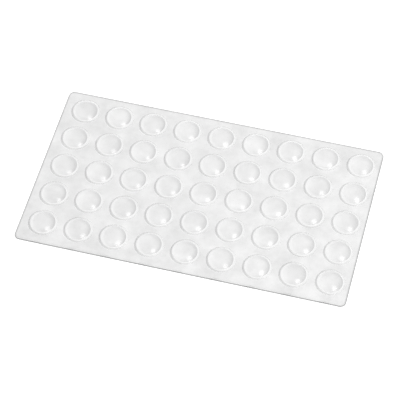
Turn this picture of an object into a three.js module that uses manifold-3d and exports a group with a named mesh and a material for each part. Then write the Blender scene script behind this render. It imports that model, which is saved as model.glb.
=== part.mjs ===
// A sheet of clear self-adhesive bumpers for cabinet doors, in millimetres, +Z up.
// Nine columns of five round bumpers are cast together with a thin web of the same resin. One adhesive
// film backs them all, and a release liner covers it. A round kiss cut frees each bumper from the web,
// so that one bumper at a time peels off the liner and sticks to a door.
// The origin is the middle of the liner's underside. X runs along the nine columns, Y along the five rows.
import * as THREE from 'three';
import { mergeVertices } from 'three/addons/utils/BufferGeometryUtils.js';
import Module from 'manifold-3d';

// How many bumpers the sheet holds
const columns = 9;
const rows = 5;

// One bumper
const domeRadius = 5.0; // the dome, a cap of a ball, at its edge
const bumperHeight = 2.9; // from the adhesive to the crown
const toeWidth = 0.25; // the hollow in which the dome runs out to the kiss cut
const toeHeight = 0.28;

// The web, and the strips of it that stay between and around the kiss cuts
const webThickness = 0.6;
const kissCutWidth = 0.1;
const columnStrip = 2.0;
const rowStrip = 2.3;
const leftMargin = 2.8;
const rightMargin = 1.6;
const frontMargin = 3.3;
const backMargin = 2.7;
const cornerRadius = 2.1;
const edgeRounding = 0.25; // the cast top edge of the web

// The films under the web
const adhesiveThickness = 0.15;
const linerThickness = 0.15;

// How finely the round shapes are faceted
const roundSegments = 20;
const domeSteps = 5;
const toeSteps = 2;
const cornerSegments = 4;
const edgeSteps = 2;

// What follows from the sizes above
const bumperRadius = domeRadius + toeWidth;
const cutRadius = bumperRadius + kissCutWidth;
const columnPitch = 2 * cutRadius + columnStrip;
const rowPitch = 2 * cutRadius + rowStrip;
const sheetLength = (columns - 1) * columnPitch + 2 * cutRadius + leftMargin + rightMargin;
const sheetWidth = (rows - 1) * rowPitch + 2 * cutRadius + frontMargin + backMargin;
const firstColumnX = -sheetLength / 2 + leftMargin + cutRadius;
const firstRowY = sheetWidth / 2 - backMargin - cutRadius;
const adhesiveZ = linerThickness;
const resinZ = linerThickness + adhesiveThickness;

const clearResin = new THREE.MeshStandardMaterial({
  color: 0xeef0f1,
  roughness: 0.08,
  metalness: 0,
  transparent: true,
  opacity: 0.55,
});
const milkyAdhesive = new THREE.MeshStandardMaterial({
  color: 0xe6e6e6,
  roughness: 0.45,
  metalness: 0,
});
const frostedLiner = new THREE.MeshStandardMaterial({
  color: 0xe4e5e5,
  roughness: 0.55,
  metalness: 0,
});

const wasm = await Module();
wasm.setup();

// A closed three.js geometry as a solid that can be cut.
function solidFrom(geometry) {
  const bare = geometry.index ? geometry.toNonIndexed() : geometry.clone();
  bare.deleteAttribute('normal');
  bare.deleteAttribute('uv');
  const merged = mergeVertices(bare, 1e-4);
  return new wasm.Manifold(
    new wasm.Mesh({
      numProp: 3,
      vertProperties: new Float32Array(merged.attributes.position.array),
      triVerts: new Uint32Array(merged.index.array),
    }),
  );
}

// A solid as a three.js geometry.
function geometryFrom(solid) {
  const mesh = solid.getMesh();
  const geometry = new THREE.BufferGeometry();
  geometry.setAttribute('position', new THREE.BufferAttribute(new Float32Array(mesh.vertProperties), 3));
  geometry.setIndex(new THREE.BufferAttribute(new Uint32Array(mesh.triVerts), 1));
  geometry.computeVertexNormals();
  return geometry;
}

// The sheet's outline, a rectangle with round corners about the origin.
function sheetOutline() {
  const radius = Math.min(cornerRadius, sheetLength / 2, sheetWidth / 2);
  const x = sheetLength / 2 - radius;
  const y = sheetWidth / 2 - radius;
  const outline = new THREE.Shape();
  outline.absarc(x, y, radius, 0, Math.PI / 2);
  outline.absarc(-x, y, radius, Math.PI / 2, Math.PI);
  outline.absarc(-x, -y, radius, Math.PI, Math.PI * 1.5);
  outline.absarc(x, -y, radius, Math.PI * 1.5, Math.PI * 2);
  return outline;
}

// A film of the sheet's outline, standing on z = 0.
function filmGeometry(thickness) {
  return new THREE.ExtrudeGeometry(sheetOutline(), {
    depth: thickness,
    bevelEnabled: false,
    curveSegments: cornerSegments,
  });
}

// The bumper's outline, from the axis at its underside round to the axis at its crown.
function bumperProfile() {
  const points = [new THREE.Vector2(0, 0), new THREE.Vector2(bumperRadius, 0)];
  // The toe is a quarter hollow that leaves the web's level and ends upright under the dome's edge.
  for (let step = 0; step <= toeSteps; step++) {
    const turn = (step / toeSteps) * (Math.PI / 2);
    points.push(
      new THREE.Vector2(
        domeRadius + toeWidth * (1 - Math.sin(turn)),
        webThickness + toeHeight * (1 - Math.cos(turn)),
      ),
    );
  }
  // The dome's edge and its crown settle the ball that it is a cap of.
  const capHeight = bumperHeight - webThickness - toeHeight;
  const ballRadius = (domeRadius ** 2 + capHeight ** 2) / (2 * capHeight);
  const edgeTurn = Math.asin(domeRadius / ballRadius);
  for (let step = 1; step <= domeSteps; step++) {
    const turn = edgeTurn * (1 - step / domeSteps);
    points.push(
      new THREE.Vector2(
        ballRadius * Math.sin(turn),
        bumperHeight - ballRadius * (1 - Math.cos(turn)),
      ),
    );
  }
  return points;
}

function bumperGeometry() {
  return new THREE.LatheGeometry(bumperProfile(), roundSegments).rotateX(Math.PI / 2);
}

// The middle of the bumper in a column and a row, both counted from 0 at the back left corner.
function bumperPlace(column, row) {
  return new THREE.Vector2(firstColumnX + column * columnPitch, firstRowY - row * rowPitch);
}

// The web: the upper half of a plate that is rounded on both faces, less a round hole for each bumper.
function webGeometry() {
  const rounding = Math.min(edgeRounding, webThickness / 2);
  const bothFaces = new THREE.ExtrudeGeometry(sheetOutline(), {
    depth: 2 * (webThickness - rounding),
    bevelEnabled: true,
    bevelThickness: rounding,
    bevelSize: rounding,
    bevelOffset: -rounding,
    bevelSegments: edgeSteps,
    curveSegments: cornerSegments,
  }).translate(0, 0, rounding - webThickness);
  const lowerHalf = new THREE.BoxGeometry(2 * sheetLength, 2 * sheetWidth, 2 * webThickness);
  let web = solidFrom(bothFaces).subtract(solidFrom(lowerHalf.translate(0, 0, -webThickness)));
  for (let row = 0; row < rows; row++) {
    for (let column = 0; column < columns; column++) {
      const place = bumperPlace(column, row);
      const cutter = new THREE.CylinderGeometry(cutRadius, cutRadius, 4 * webThickness, roundSegments);
      web = web.subtract(solidFrom(cutter.rotateX(Math.PI / 2).translate(place.x, place.y, 0)));
    }
  }
  return geometryFrom(web);
}

function named(name, geometry, material, x, y, z) {
  const mesh = new THREE.Mesh(geometry, material);
  mesh.name = name;
  mesh.position.set(x, y, z);
  return mesh;
}

const sheet = new THREE.Group();
sheet.add(named('release_liner', filmGeometry(linerThickness), frostedLiner, 0, 0, 0));
sheet.add(named('adhesive_film', filmGeometry(adhesiveThickness), milkyAdhesive, 0, 0, adhesiveZ));
sheet.add(named('resin_web', webGeometry(), clearResin, 0, 0, resinZ));

for (let row = 0; row < rows; row++) {
  for (let column = 0; column < columns; column++) {
    const place = bumperPlace(column, row);
    const name = `bumper_row_${row + 1}_column_${column + 1}`;
    sheet.add(named(name, bumperGeometry(), clearResin, place.x, place.y, resinZ));
  }
}

export default sheet;
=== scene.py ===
"""A sheet of clear self-adhesive cabinet door bumpers, as it lies in the photograph.

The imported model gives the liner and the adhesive. The cast resin, which is the 45 bumpers and the thin web
between them, is made again here with fine round shapes, because clear resin shows every facet.
"""

import math

import bpy
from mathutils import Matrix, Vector


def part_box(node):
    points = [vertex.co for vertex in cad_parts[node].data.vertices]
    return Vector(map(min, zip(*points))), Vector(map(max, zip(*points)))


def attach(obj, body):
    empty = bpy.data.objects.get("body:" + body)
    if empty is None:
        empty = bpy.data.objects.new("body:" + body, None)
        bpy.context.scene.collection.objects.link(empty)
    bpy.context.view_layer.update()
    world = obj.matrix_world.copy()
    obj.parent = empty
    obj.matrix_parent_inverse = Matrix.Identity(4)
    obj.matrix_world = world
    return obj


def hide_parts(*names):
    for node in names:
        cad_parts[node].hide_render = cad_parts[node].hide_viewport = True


MM = 0.001

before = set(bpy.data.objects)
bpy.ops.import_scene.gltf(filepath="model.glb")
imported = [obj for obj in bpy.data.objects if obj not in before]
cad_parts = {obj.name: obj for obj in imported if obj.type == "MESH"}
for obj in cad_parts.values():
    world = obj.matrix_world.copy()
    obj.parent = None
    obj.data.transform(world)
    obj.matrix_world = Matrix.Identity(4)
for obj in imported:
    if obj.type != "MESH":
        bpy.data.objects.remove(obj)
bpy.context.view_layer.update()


# The camera stands where the photograph was taken from: to the right of the sheet's middle and well above it.
CAMERA_PLACE = Vector((103.48, -406.99, 542.38)) * MM
CAMERA_TURN = (math.radians(37.615), math.radians(-0.047), math.radians(14.421))
CAMERA_LENS = 176.2  # mm, as the sensor's width is
SENSOR_WIDTH = 36.0

camera_data = bpy.data.cameras.new("photograph_view")
camera_data.lens = CAMERA_LENS
camera_data.sensor_width = SENSOR_WIDTH
camera_data.clip_start = 0.05
camera_data.clip_end = 20.0
camera = bpy.data.objects.new("photograph_view", camera_data)
camera.location = CAMERA_PLACE
camera.rotation_euler = CAMERA_TURN
bpy.context.scene.collection.objects.link(camera)
bpy.context.scene.camera = camera
bpy.context.scene.view_settings.view_transform = "Standard"


def linear(hex_colour):
    """An sRGB colour, written as #rrggbb, as linear red, green, blue and alpha."""
    shares = [int(hex_colour[i : i + 2], 16) / 255 for i in (1, 3, 5)]
    return tuple(s / 12.92 if s <= 0.04045 else ((s + 0.055) / 1.055) ** 2.4 for s in shares) + (1.0,)


def add(tree, kind, inputs=None, **settings):
    """Adds a node with its settings, and fills its inputs with values, sockets or nodes.

    The inputs go by name or by place. A node stands for its first output that is in use, and a list of nodes
    for all the links into one input.
    """
    made = tree.nodes.new(kind)
    for name, value in settings.items():
        setattr(made, name, value)
    pairs = enumerate(inputs) if isinstance(inputs, list) else (inputs or {}).items()
    for key, values in pairs:
        for value in values if isinstance(values, list) else [values]:
            if isinstance(value, bpy.types.Node):
                value = next(socket for socket in value.outputs if socket.enabled)
            if isinstance(value, bpy.types.NodeSocket):
                tree.links.new(value, made.inputs[key])
            else:
                made.inputs[key].default_value = value
    return made


MATH = "ShaderNodeMath"
VECTOR_MATH = "ShaderNodeVectorMath"
VECTOR = "ShaderNodeCombineXYZ"
NOISE = "ShaderNodeTexNoise"
BUMP = "ShaderNodeBump"
MIX = "ShaderNodeMix"
MAP_RANGE = "ShaderNodeMapRange"
PRINCIPLED = "ShaderNodeBsdfPrincipled"


# The sheet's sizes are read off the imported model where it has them.
COLUMNS = 9
ROWS = 5


def middle(name):
    """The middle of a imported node's box."""
    low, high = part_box(name)
    return (low + high) / 2


web_low, web_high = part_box("resin_web")
bumper_low, bumper_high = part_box("bumper_row_1_column_1")
back_left = middle("bumper_row_1_column_1")
front_right = middle(f"bumper_row_{ROWS}_column_{COLUMNS}")

COLUMN_PITCH = (front_right.x - back_left.x) / (COLUMNS - 1)
ROW_PITCH = (back_left.y - front_right.y) / (ROWS - 1)
GRID_MIDDLE = (back_left + front_right) / 2
SHEET_LENGTH = web_high.x - web_low.x
SHEET_WIDTH = web_high.y - web_low.y
FILM_TOP = web_low.z
WEB_TOP = web_high.z
CROWN = bumper_high.z
BUMPER_RADIUS = (bumper_high.y - bumper_low.y) / 2

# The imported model's source names these, and its boxes don't show them.
CORNER_RADIUS = 2.1 * MM
EDGE_ROUNDING = 0.25 * MM
DOME_RADIUS = 5.0 * MM
TOE_HEIGHT = 0.28 * MM

# What only this finer model has
BROW_ROUNDING = 0.12 * MM  # where the dome turns over into the toe
CUT_WIDTH = 0.03 * MM  # a kiss cut as narrow as a blade leaves it
BEDDING = 0.01 * MM  # how far the resin sinks into the adhesive, so that no air shows between them
ROUND_SEGMENTS = 64


def new_material(name):
    """A material with an empty node tree, and that tree."""
    material = bpy.data.materials.new(name)
    material.use_nodes = True
    material.node_tree.nodes.clear()
    return material, material.node_tree


def place_in_mm(tree):
    """The Object coordinates in millimetres."""
    place = add(tree, "ShaderNodeTexCoord").outputs["Object"]
    return add(tree, VECTOR_MATH, {0: place, "Scale": 1 / MM}, operation="SCALE")


# The slow waves of a surface that found its own level while it cured
WAVES_PER_MM = 0.28  # one in about 3.6 mm
WAVE_HEIGHT = 0.12 * MM


def cast_polyurethane():
    """Clear polyurethane, poured and cured in the open: water clear, with a wet gloss.

    The eye gets thin dark and bright crescents where the domes' edges bend what lies under them, and a small
    soft highlight on each dome. The lamps' light, and what the film throws back, go straight through, so that
    the film is as bright under the resin as the photograph shows it.
    """
    material, tree = new_material("clear_cast_polyurethane")
    waves = add(tree, NOISE, {"Vector": place_in_mm(tree), "Scale": WAVES_PER_MM, "Detail": 0.0})
    level = add(tree, BUMP, {"Height": waves, "Strength": 1.0, "Distance": WAVE_HEIGHT})
    resin = add(
        tree,
        PRINCIPLED,
        {
            "Base Color": linear("#fcfcfc"),
            "Transmission Weight": 1.0,
            "IOR": 1.49,
            "Roughness": 0.25,
            "Normal": level,
        },
    )
    let_through = add(tree, "ShaderNodeBsdfTransparent", {"Color": linear("#ffffff")})
    path = add(tree, "ShaderNodeLightPath").outputs
    lighting = add(tree, MATH, [path["Is Shadow Ray"], path["Is Diffuse Ray"]], operation="MAXIMUM")
    both = add(tree, "ShaderNodeMixShader", [lighting, resin, let_through])
    add(tree, "ShaderNodeOutputMaterial", {"Surface": both})
    return material


# A dome gathers light on the film in a bright and a dark crescent. The renderer doesn't draw these, so the
# film's shading stands for them: a bump of a dish under each bumper that rises to a ridge under the dome's
# edge and falls off steeply outside it, and a paler band round the ridge that is painted caustic light.
# Distances along the film are in millimetres.
RIDGE_RADIUS = 3.9
RIDGE_FALL = 1.4  # how wide the slope outside the ridge is
RIDGE_HEIGHT = 0.7 * MM
RIDGE_BLEND = 0.1  # how softly the two slopes meet, as a share of the height
DISH_POWER = 4.5  # the higher, the nearer to the ridge the dish rises
PAINTED_LIGHT_REACH = 1.1  # how far from the ridge, to each side, the film is painted paler, as painted caustic light

# The milky film's own look
CLOUDS_PER_MM = 0.12  # one patch in about 8 mm
PAINTED_SHADE_REACH = 0.8  # mm in from the outline, where the film is painted darker, as painted shade of the sheet's cut edge
CORE_HEIGHT = 1.0  # mm, above the whole film, so that only X and Y count in the distance from the core


def from_nearest_bumper(tree, where):
    """The distance from the middle of the nearest bumper, in millimetres."""
    parts = add(tree, "ShaderNodeSeparateXYZ", {"Vector": where}).outputs
    from_middle = []
    for axis, first, pitch in (("X", back_left.x, COLUMN_PITCH), ("Y", front_right.y, ROW_PITCH)):
        first, pitch = first / MM, pitch / MM
        shifted = add(tree, MATH, [parts[axis], first - pitch / 2], operation="SUBTRACT")
        in_cell = add(tree, MATH, [shifted, pitch, 0.0], operation="WRAP")
        from_middle.append(add(tree, MATH, [in_cell, pitch / 2], operation="SUBTRACT"))
    flat = add(tree, VECTOR, {"X": from_middle[0], "Y": from_middle[1]})
    return add(tree, VECTOR_MATH, [flat], operation="LENGTH").outputs["Value"]


def from_sheet_core(tree, where):
    """The distance from a rectangle that is one corner radius smaller than the sheet, in millimetres."""
    mirrored = add(tree, VECTOR_MATH, [where], operation="ABSOLUTE")
    reach = [(size / 2 - CORNER_RADIUS) / MM for size in (SHEET_LENGTH, SHEET_WIDTH)]
    beyond = add(tree, VECTOR_MATH, [mirrored, (*reach, CORE_HEIGHT)], operation="SUBTRACT")
    outside = add(tree, VECTOR_MATH, [beyond, (0, 0, 0)], operation="MAXIMUM")
    return add(tree, VECTOR_MATH, [outside], operation="LENGTH").outputs["Value"]


def milky_adhesive():
    """Acrylic adhesive on its film, coated in one pass: an even, milky pale grey with faint cloudy patches.

    The eye gets a ring under each dome, bright on its left and dark on its right, that the dome bends with
    the rest: a bump, with a paler band of painted caustic light round its ridge. Along the sheet's outline,
    painted shade gives a darker line.
    """
    material, tree = new_material("milky_acrylic_adhesive")
    where = place_in_mm(tree)
    clouds = add(
        tree, NOISE, {"Vector": where, "Scale": CLOUDS_PER_MM, "Detail": 5.0, "Roughness": 0.65}
    )
    cloudy = add(
        tree, MIX, {"Factor": clouds, "A": linear("#cbcbcb"), "B": linear("#fdfdfd")}, data_type="RGBA"
    )

    distance = from_nearest_bumper(tree, where)
    share = add(tree, MATH, [distance, RIDGE_RADIUS], operation="DIVIDE")
    rise = add(tree, MATH, [share, DISH_POWER], operation="POWER")
    fall = add(
        tree,
        MAP_RANGE,
        {
            "Value": distance,
            "From Min": RIDGE_RADIUS,
            "From Max": RIDGE_RADIUS + RIDGE_FALL,
            "To Min": 1.0,
            "To Max": 0.0,
        },
        interpolation_type="SMOOTHSTEP",
    )
    ridge = add(tree, MATH, [rise, fall, RIDGE_BLEND], operation="SMOOTH_MIN")
    raised = add(tree, BUMP, {"Height": ridge, "Strength": 1.0, "Distance": RIDGE_HEIGHT})
    past_ridge = add(tree, MATH, [distance, RIDGE_RADIUS], operation="SUBTRACT")
    from_ridge = add(tree, MATH, [past_ridge], operation="ABSOLUTE")
    # A paler band round each ridge: painted caustic light.
    painted_caustic_light = add(
        tree,
        MAP_RANGE,
        {"Value": from_ridge, "From Max": PAINTED_LIGHT_REACH, "To Min": 1.0, "To Max": 0.0},
        interpolation_type="SMOOTHSTEP",
    )
    with_painted_light = add(
        tree, MIX, {"Factor": painted_caustic_light, "A": cloudy, "B": linear("#f2f2f2")}, data_type="RGBA"
    )

    # A darker band along the sheet's outline: painted shade of the sheet's cut edge.
    outline = CORNER_RADIUS / MM
    painted_edge_shade = add(
        tree,
        MAP_RANGE,
        {"Value": from_sheet_core(tree, where), "From Min": outline - PAINTED_SHADE_REACH, "From Max": outline},
        interpolation_type="SMOOTHSTEP",
    )
    with_painted_shade = add(
        tree, MIX, {"Factor": painted_edge_shade, "A": with_painted_light, "B": linear("#a8a8a8")}, data_type="RGBA"
    )
    film = add(
        tree,
        PRINCIPLED,
        {
            "Base Color": with_painted_shade,
            "Roughness": 0.45,
            "IOR": 1.47,
            "Specular IOR Level": 0.0,  # the resin wets it, so it has no gloss of its own
            "Normal": raised,
        },
    )
    add(tree, "ShaderNodeOutputMaterial", {"Surface": film})
    return material


FROST_PER_MM = 3.0  # coarser than a real frost, which is too fine to show
FROST_HEIGHT = 0.02 * MM


def frosted_liner():
    """Polypropylene release film, embossed to a fine frost, so that it has a dull, milky look."""
    material, tree = new_material("frosted_polypropylene_liner")
    frost = add(
        tree, NOISE, {"Vector": place_in_mm(tree), "Scale": FROST_PER_MM, "Detail": 2.0, "Roughness": 0.6}
    )
    grain = add(tree, BUMP, {"Height": frost, "Strength": 0.4, "Distance": FROST_HEIGHT})
    mottled = add(
        tree, MIX, {"Factor": frost, "A": linear("#d8d8d8"), "B": linear("#e6e6e6")}, data_type="RGBA"
    )
    film = add(tree, PRINCIPLED, {"Base Color": mottled, "Roughness": 0.55, "IOR": 1.49, "Normal": grain})
    add(tree, "ShaderNodeOutputMaterial", {"Surface": film})
    return material


RESIN = cast_polyurethane()
ADHESIVE = milky_adhesive()
LINER = frosted_liner()


def start_tree(name, sizes, counts):
    """A Geometry Nodes tree with named inputs for its sizes and counts, and those inputs' sockets."""
    tree = bpy.data.node_groups.new(name, "GeometryNodeTree")
    for label in sizes:
        tree.interface.new_socket(label, in_out="INPUT", socket_type="NodeSocketFloat")
    for label in counts:
        tree.interface.new_socket(label, in_out="INPUT", socket_type="NodeSocketInt")
    tree.interface.new_socket("Material", in_out="INPUT", socket_type="NodeSocketMaterial")
    tree.interface.new_socket("Geometry", in_out="OUTPUT", socket_type="NodeSocketGeometry")
    return tree, add(tree, "NodeGroupInput").outputs


def grid_of_points(tree, given):
    """The middles of the bumpers, as a mesh grid's points."""
    sizes = []
    for count, pitch in (("Columns", "Column Pitch"), ("Rows", "Row Pitch")):
        steps = add(tree, MATH, [given[count], 1.0], operation="SUBTRACT")
        sizes.append(add(tree, MATH, [steps, given[pitch]], operation="MULTIPLY"))
    grid = add(
        tree,
        "GeometryNodeMeshGrid",
        {"Size X": sizes[0], "Size Y": sizes[1], "Vertices X": given["Columns"], "Vertices Y": given["Rows"]},
    )
    shift = add(tree, VECTOR, {"X": given["Grid X"], "Y": given["Grid Y"]})
    return add(tree, "GeometryNodeTransform", {"Geometry": grid, "Translation": shift})


MERGE_DISTANCE = 0.0005 * MM  # between the doubles where the parts of a mesh meet


def finish_tree(tree, given, geometry):
    """Ends a tree: realised, with its doubles merged, in its material."""
    realised = add(tree, "GeometryNodeRealizeInstances", {"Geometry": geometry})
    merged = add(tree, "GeometryNodeMergeByDistance", {"Geometry": realised, "Distance": MERGE_DISTANCE})
    painted = add(tree, "GeometryNodeSetMaterial", {"Geometry": merged, "Material": given["Material"]})
    add(tree, "NodeGroupOutput", {"Geometry": painted})


RAIL_RADIUS = 1.0  # of the circle that carries the outline round, which the outline's points allow for


def outline_point(tree, radius, height):
    """A point of the bumper's outline, in the plane that the sweep carries round: X outwards and Y down."""
    out = add(tree, MATH, [radius, RAIL_RADIUS], operation="SUBTRACT")
    down = add(tree, MATH, [height, -1.0], operation="MULTIPLY")
    return add(tree, VECTOR, {"X": out, "Y": down})


def bumper_tree():
    """The bumpers: the stretches of one bumper's outline, swept round its axis, and set out on a grid."""
    tree, given = start_tree(
        "clear_bumpers_on_a_grid",
        ["Column Pitch", "Row Pitch", "Grid X", "Grid Y", "Underside", "Web Top", "Crown"]
        + ["Dome Radius", "Bumper Radius", "Toe Height", "Brow Rounding"],
        ["Columns", "Rows", "Round Segments", "Dome Steps", "Toe Steps"],
    )
    radius, brow = given["Dome Radius"], given["Brow Rounding"]
    edge_height = add(tree, MATH, [given["Web Top"], given["Toe Height"]], operation="ADD")
    toe_top = add(tree, MATH, [edge_height, brow], operation="SUBTRACT")

    # The dome is a cap of a ball. Its edge and its crown settle the ball.
    rise = add(tree, MATH, [given["Crown"], edge_height], operation="SUBTRACT")
    rise_squared = add(tree, MATH, [rise, 2.0], operation="POWER")
    radius_squared = add(tree, MATH, [radius, 2.0], operation="POWER")
    squares = add(tree, MATH, [rise_squared, radius_squared], operation="ADD")
    ball_width = add(tree, MATH, [squares, rise], operation="DIVIDE")
    ball = add(tree, MATH, [ball_width, 2.0], operation="DIVIDE")
    ball_middle = add(tree, MATH, [given["Crown"], ball], operation="SUBTRACT")
    brow_radius = add(tree, MATH, [radius, brow], operation="SUBTRACT")
    edge_sine = add(tree, MATH, [brow_radius, ball], operation="DIVIDE")
    edge_turn = add(tree, MATH, [edge_sine], operation="ARCSINE")

    # One point along the cap for each step, from its edge up to the crown
    unit_line = add(tree, "GeometryNodeCurvePrimitiveLine", {"Start": (0, 0, 0), "End": (1, 0, 0)})
    steps = add(tree, "GeometryNodeResampleCurve", {"Curve": unit_line, "Count": given["Dome Steps"]})
    done = add(tree, "GeometryNodeSplineParameter").outputs["Factor"]
    left = add(tree, MATH, [1.0, done], operation="SUBTRACT")
    turn = add(tree, MATH, [edge_turn, left], operation="MULTIPLY")
    cap_sine = add(tree, MATH, [turn], operation="SINE")
    cap_cosine = add(tree, MATH, [turn], operation="COSINE")
    cap_radius = add(tree, MATH, [ball, cap_sine], operation="MULTIPLY")
    cap_height = add(tree, MATH, [ball, cap_cosine, ball_middle], operation="MULTIPLY_ADD")
    dome = add(
        tree,
        "GeometryNodeSetPosition",
        {"Geometry": steps, "Position": outline_point(tree, cap_radius, cap_height)},
    )

    brow_cosine = add(tree, MATH, [edge_turn], operation="COSINE")
    brow_height = add(tree, MATH, [ball, brow_cosine, ball_middle], operation="MULTIPLY_ADD")
    foot = outline_point(tree, given["Bumper Radius"], given["Underside"])
    stretches = [
        add(
            tree,
            "GeometryNodeCurvePrimitiveLine",
            {"Start": outline_point(tree, 0.0, given["Underside"]), "End": foot},
        ),
        add(
            tree,
            "GeometryNodeCurvePrimitiveLine",
            {"Start": foot, "End": outline_point(tree, given["Bumper Radius"], given["Web Top"])},
        ),
        add(
            tree,
            "GeometryNodeCurveQuadraticBezier",
            {
                "Resolution": given["Toe Steps"],
                "Start": outline_point(tree, given["Bumper Radius"], given["Web Top"]),
                "Middle": outline_point(tree, radius, given["Web Top"]),
                "End": outline_point(tree, radius, toe_top),
            },
        ),
        add(
            tree,
            "GeometryNodeCurveQuadraticBezier",
            {
                "Resolution": given["Toe Steps"],
                "Start": outline_point(tree, radius, toe_top),
                "Middle": outline_point(tree, radius, edge_height),
                "End": outline_point(tree, brow_radius, brow_height),
            },
        ),
        dome,
    ]
    rail = add(
        tree,
        "GeometryNodeCurvePrimitiveCircle",
        {"Resolution": given["Round Segments"], "Radius": RAIL_RADIUS},
        mode="RADIUS",
    )
    whole_outline = add(tree, "GeometryNodeJoinGeometry", {"Geometry": stretches})
    swept = add(tree, "GeometryNodeCurveToMesh", {"Curve": rail, "Profile Curve": whole_outline})
    closed = add(tree, "GeometryNodeMergeByDistance", {"Geometry": swept, "Distance": MERGE_DISTANCE})
    facing_out = add(tree, "GeometryNodeFlipFaces", {"Mesh": closed})
    bumpers = add(
        tree,
        "GeometryNodeInstanceOnPoints",
        {"Points": grid_of_points(tree, given), "Instance": facing_out},
    )
    finish_tree(tree, given, bumpers)
    return tree


ROUNDING_STEPS = 4
# A point farther from the core than this share of the drawn-in outline's distance is the outline's and not
# a hole's.
OUTLINE_SHARE = 0.9


def web_tree():
    """The web: a plate with a round hole for each bumper, raised in steps that round its outer top edge."""
    tree, given = start_tree(
        "perforated_resin_web",
        ["Column Pitch", "Row Pitch", "Grid X", "Grid Y", "Underside", "Web Top"]
        + ["Length", "Width", "Corner Radius", "Edge Rounding", "Cut Radius"],
        ["Columns", "Rows", "Round Segments", "Corner Steps"],
    )
    rounding, corner = given["Edge Rounding"], given["Corner Radius"]
    rectangle = add(
        tree,
        "GeometryNodeCurvePrimitiveQuadrilateral",
        {"Width": given["Length"], "Height": given["Width"]},
        mode="RECTANGLE",
    )
    outline = add(
        tree,
        "GeometryNodeFilletCurve",
        {"Curve": rectangle, "Count": given["Corner Steps"], "Radius": corner},
        mode="POLY",
    )
    ring = add(
        tree,
        "GeometryNodeCurvePrimitiveCircle",
        {"Resolution": given["Round Segments"], "Radius": given["Cut Radius"]},
        mode="RADIUS",
    )
    rings = add(
        tree, "GeometryNodeInstanceOnPoints", {"Points": grid_of_points(tree, given), "Instance": ring}
    )
    cuts = add(tree, "GeometryNodeRealizeInstances", {"Geometry": rings})
    lines = add(tree, "GeometryNodeJoinGeometry", {"Geometry": [outline, cuts]})
    filled = add(tree, "GeometryNodeFillCurve", {"Curve": lines}, mode="TRIANGLES")
    lift = add(tree, VECTOR, {"Z": given["Underside"]})
    plate = add(tree, "GeometryNodeTransform", {"Geometry": filled, "Translation": lift})

    # Every point of the outline is one corner radius from a smaller rectangle, its core.
    place = add(tree, "GeometryNodeInputPosition")
    parts = add(tree, "ShaderNodeSeparateXYZ", {"Vector": place}).outputs
    core = []
    for axis, size in (("X", given["Length"]), ("Y", given["Width"])):
        half = add(tree, MATH, [size, 2.0], operation="DIVIDE")
        reach = add(tree, MATH, [half, corner], operation="SUBTRACT")
        mirrored = add(tree, MATH, [reach, -1.0], operation="MULTIPLY")
        above_low = add(tree, MATH, [parts[axis], mirrored], operation="MAXIMUM")
        core.append(add(tree, MATH, [above_low, reach], operation="MINIMUM"))
    core_point = add(tree, VECTOR, {"X": core[0], "Y": core[1], "Z": parts["Z"]})
    from_core = add(tree, VECTOR_MATH, [place, core_point], operation="SUBTRACT")
    outwards = add(tree, VECTOR_MATH, [from_core], operation="NORMALIZE")
    distance = add(tree, VECTOR_MATH, [from_core], operation="LENGTH").outputs["Value"]
    # The rounding draws the outline in by its own size at most.
    drawn_most = add(tree, MATH, [corner, rounding], operation="SUBTRACT")
    innermost = add(tree, MATH, [drawn_most, OUTLINE_SHARE], operation="MULTIPLY")
    on_outline = add(tree, MATH, [distance, innermost], operation="GREATER_THAN")

    raised, height_before = plate, given["Underside"]
    side_height = add(tree, MATH, [given["Web Top"], rounding], operation="SUBTRACT")
    for step in range(ROUNDING_STEPS + 1):
        turn = math.pi / 2 * step / ROUNDING_STEPS
        height = add(tree, MATH, [rounding, math.sin(turn), side_height], operation="MULTIPLY_ADD")
        thickness = add(tree, MATH, [height, height_before], operation="SUBTRACT")
        extruded = add(
            tree,
            "GeometryNodeExtrudeMesh",
            {"Mesh": raised, "Offset": add(tree, VECTOR, {"Z": thickness}), "Individual": False},
            mode="FACES",
        )
        reach = add(tree, MATH, [rounding, math.cos(turn) - 1, corner], operation="MULTIPLY_ADD")
        drawn_in = add(tree, VECTOR_MATH, {0: outwards, "Scale": reach}, operation="SCALE")
        target = add(tree, VECTOR_MATH, [core_point, drawn_in], operation="ADD")
        moved = add(tree, MATH, [extruded.outputs["Top"], on_outline], operation="MULTIPLY")
        raised = add(
            tree,
            "GeometryNodeSetPosition",
            {"Geometry": extruded, "Selection": moved, "Position": target},
        )
        height_before = height
    underside = add(tree, "GeometryNodeFlipFaces", {"Mesh": plate})
    finish_tree(tree, given, add(tree, "GeometryNodeJoinGeometry", {"Geometry": [raised, underside]}))
    return tree


SMOOTH_BELOW = math.radians(50)


def grown(name, tree, values):
    """The mesh that a tree makes, as a plain object. Its faces are smooth, apart from the sharper edges."""
    seed = bpy.data.objects.new(name + "_seed", bpy.data.meshes.new(name + "_seed"))
    bpy.context.scene.collection.objects.link(seed)
    modifier = seed.modifiers.new("tree", "NODES")
    modifier.node_group = tree
    for item in tree.interface.items_tree:
        if item.in_out == "INPUT":
            modifier[item.identifier] = values[item.name]
    bpy.context.view_layer.update()
    evaluated = seed.evaluated_get(bpy.context.evaluated_depsgraph_get())
    mesh = bpy.data.meshes.new_from_object(evaluated)
    mesh.name = name
    bpy.data.objects.remove(seed)
    mesh.polygons.foreach_set("use_smooth", [True] * len(mesh.polygons))
    mesh.set_sharp_from_angle(angle=SMOOTH_BELOW)
    piece = bpy.data.objects.new(name, mesh)
    bpy.context.scene.collection.objects.link(piece)
    return piece


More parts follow.
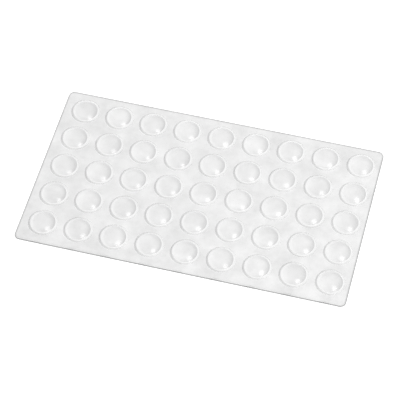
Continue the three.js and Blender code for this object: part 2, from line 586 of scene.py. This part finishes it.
VALUES = {
    "Columns": COLUMNS,
    "Rows": ROWS,
    "Column Pitch": COLUMN_PITCH,
    "Row Pitch": ROW_PITCH,
    "Grid X": GRID_MIDDLE.x,
    "Grid Y": GRID_MIDDLE.y,
    "Underside": FILM_TOP - BEDDING,
    "Web Top": WEB_TOP,
    "Crown": CROWN,
    "Dome Radius": DOME_RADIUS,
    "Bumper Radius": BUMPER_RADIUS,
    "Toe Height": TOE_HEIGHT,
    "Brow Rounding": BROW_ROUNDING,
    "Length": SHEET_LENGTH,
    "Width": SHEET_WIDTH,
    "Corner Radius": CORNER_RADIUS,
    "Edge Rounding": EDGE_ROUNDING,
    "Cut Radius": BUMPER_RADIUS + CUT_WIDTH,
    "Dome Steps": 16,
    "Toe Steps": 4,
    "Round Segments": ROUND_SEGMENTS,
    "Corner Steps": 16,
    "Material": RESIN,
}

bumpers = grown("clear_bumpers", bumper_tree(), VALUES)
web = grown("resin_web_sheet", web_tree(), VALUES)

for piece, replaced in (
    (bumpers, [f"bumper_row_{r + 1}_column_{c + 1}" for r in range(ROWS) for c in range(COLUMNS)]),
    (web, ["resin_web"]),
):
    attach(piece, "root")
    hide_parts(*replaced)

for name, material in (("adhesive_film", ADHESIVE), ("release_liner", LINER)):
    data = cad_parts[name].data
    data.materials.clear()
    data.materials.append(material)


# The floor lies just under the liner. The camera sees it brighter than its lit colour, so that it comes out
# white, and the object's shadow stays on it.
FLOOR_HALF = 2.0  # metres, from its middle to its edge
FLOOR_DROP = 0.02 * MM
FLOOR_GLOW = 0.5  # what the camera sees it shine, over its lit colour


def studio_floor():
    """A wide matt white floor."""
    material, tree = new_material("matt_white_floor")
    matt = add(tree, "ShaderNodeBsdfDiffuse", {"Color": linear("#f2f2f2")})
    path = add(tree, "ShaderNodeLightPath").outputs
    mirrored = add(tree, MATH, [path["Is Camera Ray"], path["Is Glossy Ray"]], operation="MAXIMUM")
    seen = add(tree, MATH, [mirrored, path["Is Transmission Ray"]], operation="MAXIMUM")
    strength = add(tree, MATH, [seen, FLOOR_GLOW], operation="MULTIPLY")
    glow = add(tree, "ShaderNodeEmission", {"Strength": strength})
    both = add(tree, "ShaderNodeAddShader", [matt, glow])
    add(tree, "ShaderNodeOutputMaterial", {"Surface": both})
    mesh = bpy.data.meshes.new("studio_floor")
    corners = [(-1, -1), (1, -1), (1, 1), (-1, 1)]
    mesh.from_pydata([(x * FLOOR_HALF, y * FLOOR_HALF, -FLOOR_DROP) for x, y in corners], [], [(0, 1, 2, 3)])
    mesh.materials.append(material)
    floor = bpy.data.objects.new("studio_floor", mesh)
    bpy.context.scene.collection.objects.link(floor)


studio_floor()

LAMP_DISTANCE = 1.2  # metres, from the sheet's middle


def soft_lamp(name, direction, size, watts, mirrored):
    """A round lamp that looks at the sheet's middle. The resin's gloss mirrors it or doesn't."""
    data = bpy.data.lights.new(name, "AREA")
    data.shape = "DISK"
    data.size = size
    data.energy = watts
    lamp = bpy.data.objects.new(name, data)
    lamp.location = direction.normalized() * LAMP_DISTANCE
    lamp.rotation_euler = direction.to_track_quat("Z", "Y").to_euler()
    lamp.visible_glossy = mirrored
    lamp.visible_transmission = mirrored
    bpy.context.scene.collection.objects.link(lamp)


def even_light(strength):
    """The room's own light, from all round."""
    world = bpy.data.worlds.new("white_room")
    world.use_nodes = True
    tree = world.node_tree
    tree.nodes.clear()
    sky = add(tree, "ShaderNodeBackground", {"Color": linear("#ffffff"), "Strength": strength})
    add(tree, "ShaderNodeOutputWorld", {"Surface": sky})
    bpy.context.scene.world = world


# A lamp from the back right shades the sheet, and one from the front right gives the domes their highlights.
soft_lamp("key_lamp", Vector((0.25, 0.65, 0.72)), size=0.6, watts=4.3, mirrored=False)
soft_lamp("glint_lamp", Vector((0.50, -0.32, 0.80)), size=0.55, watts=6.4, mirrored=True)
even_light(strength=0.56)
